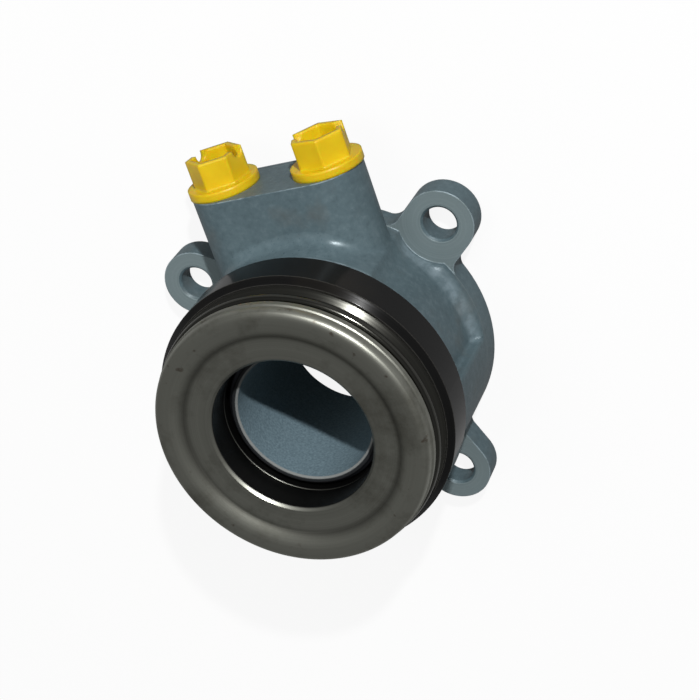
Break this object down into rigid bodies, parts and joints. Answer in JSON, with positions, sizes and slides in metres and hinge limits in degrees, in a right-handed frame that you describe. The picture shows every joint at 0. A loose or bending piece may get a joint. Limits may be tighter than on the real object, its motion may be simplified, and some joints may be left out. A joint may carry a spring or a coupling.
{
  "type": "concentric slave cylinder",
  "caption": "Annular hydraulic clutch release cylinder: a piston slides along a central sleeve and pushes a ball release bearing, with a side port block and fixing lugs.",
  "frame": {"origin": "centre of the shaft bore on the mounting face at the back", "axes": "+Z along the shaft axis towards the release bearing, +Y towards the port block"},
  "size_m": [0.0675, 0.0838, 0.0428],
  "materials": {
    "anodised_casting": "cast, machined and hard anodised blue-grey",
    "turned_aluminium": "turned and anodised",
    "yellow_plastic": "moulded yellow plastic",
    "black_rubber": "moulded seal rubber",
    "spring_steel": "spring steel",
    "black_steel": "turned steel, black oxide",
    "pressed_steel": "pressed bright steel",
    "bearing_steel": "turned and hardened steel",
    "cage_plastic": "moulded plastic"
  },
  "bodies": {
    "housing": {"body": "anodised_casting", "port_plugs": "yellow_plastic", "dust_wiper": "black_rubber", "stop_ring": "spring_steel"},
    "piston_unit": {"piston": "turned_aluminium", "outer_seal": "black_rubber", "inner_seal": "black_rubber", "outer_ring": "black_steel", "shield": "pressed_steel", "bearing_clip": "spring_steel"},
    "bearing_face": {"contact_ring": "bearing_steel"},
    "ball_set": {"cage": "cage_plastic", "balls": "bearing_steel"}
  },
  "joints": [
    {"name": "piston_stroke", "type": "slide", "parent": "housing", "child": "piston_unit", "axis": [0, 0, 1], "range_m": [0, 0.008]},
    {"name": "bearing_spin", "type": "hinge", "parent": "piston_unit", "child": "bearing_face", "pos_m": [0, 0, 0.0327], "axis": [0, 0, 1], "continuous": true},
    {"name": "ball_set_spin", "type": "hinge", "parent": "piston_unit", "child": "ball_set", "pos_m": [0, 0, 0.0327], "axis": [0, 0, 1], "continuous": true}
  ],
  "couplings": [
    {"joint": "ball_set_spin", "follows": "bearing_spin", "ratio": 0.4531}
  ]
}
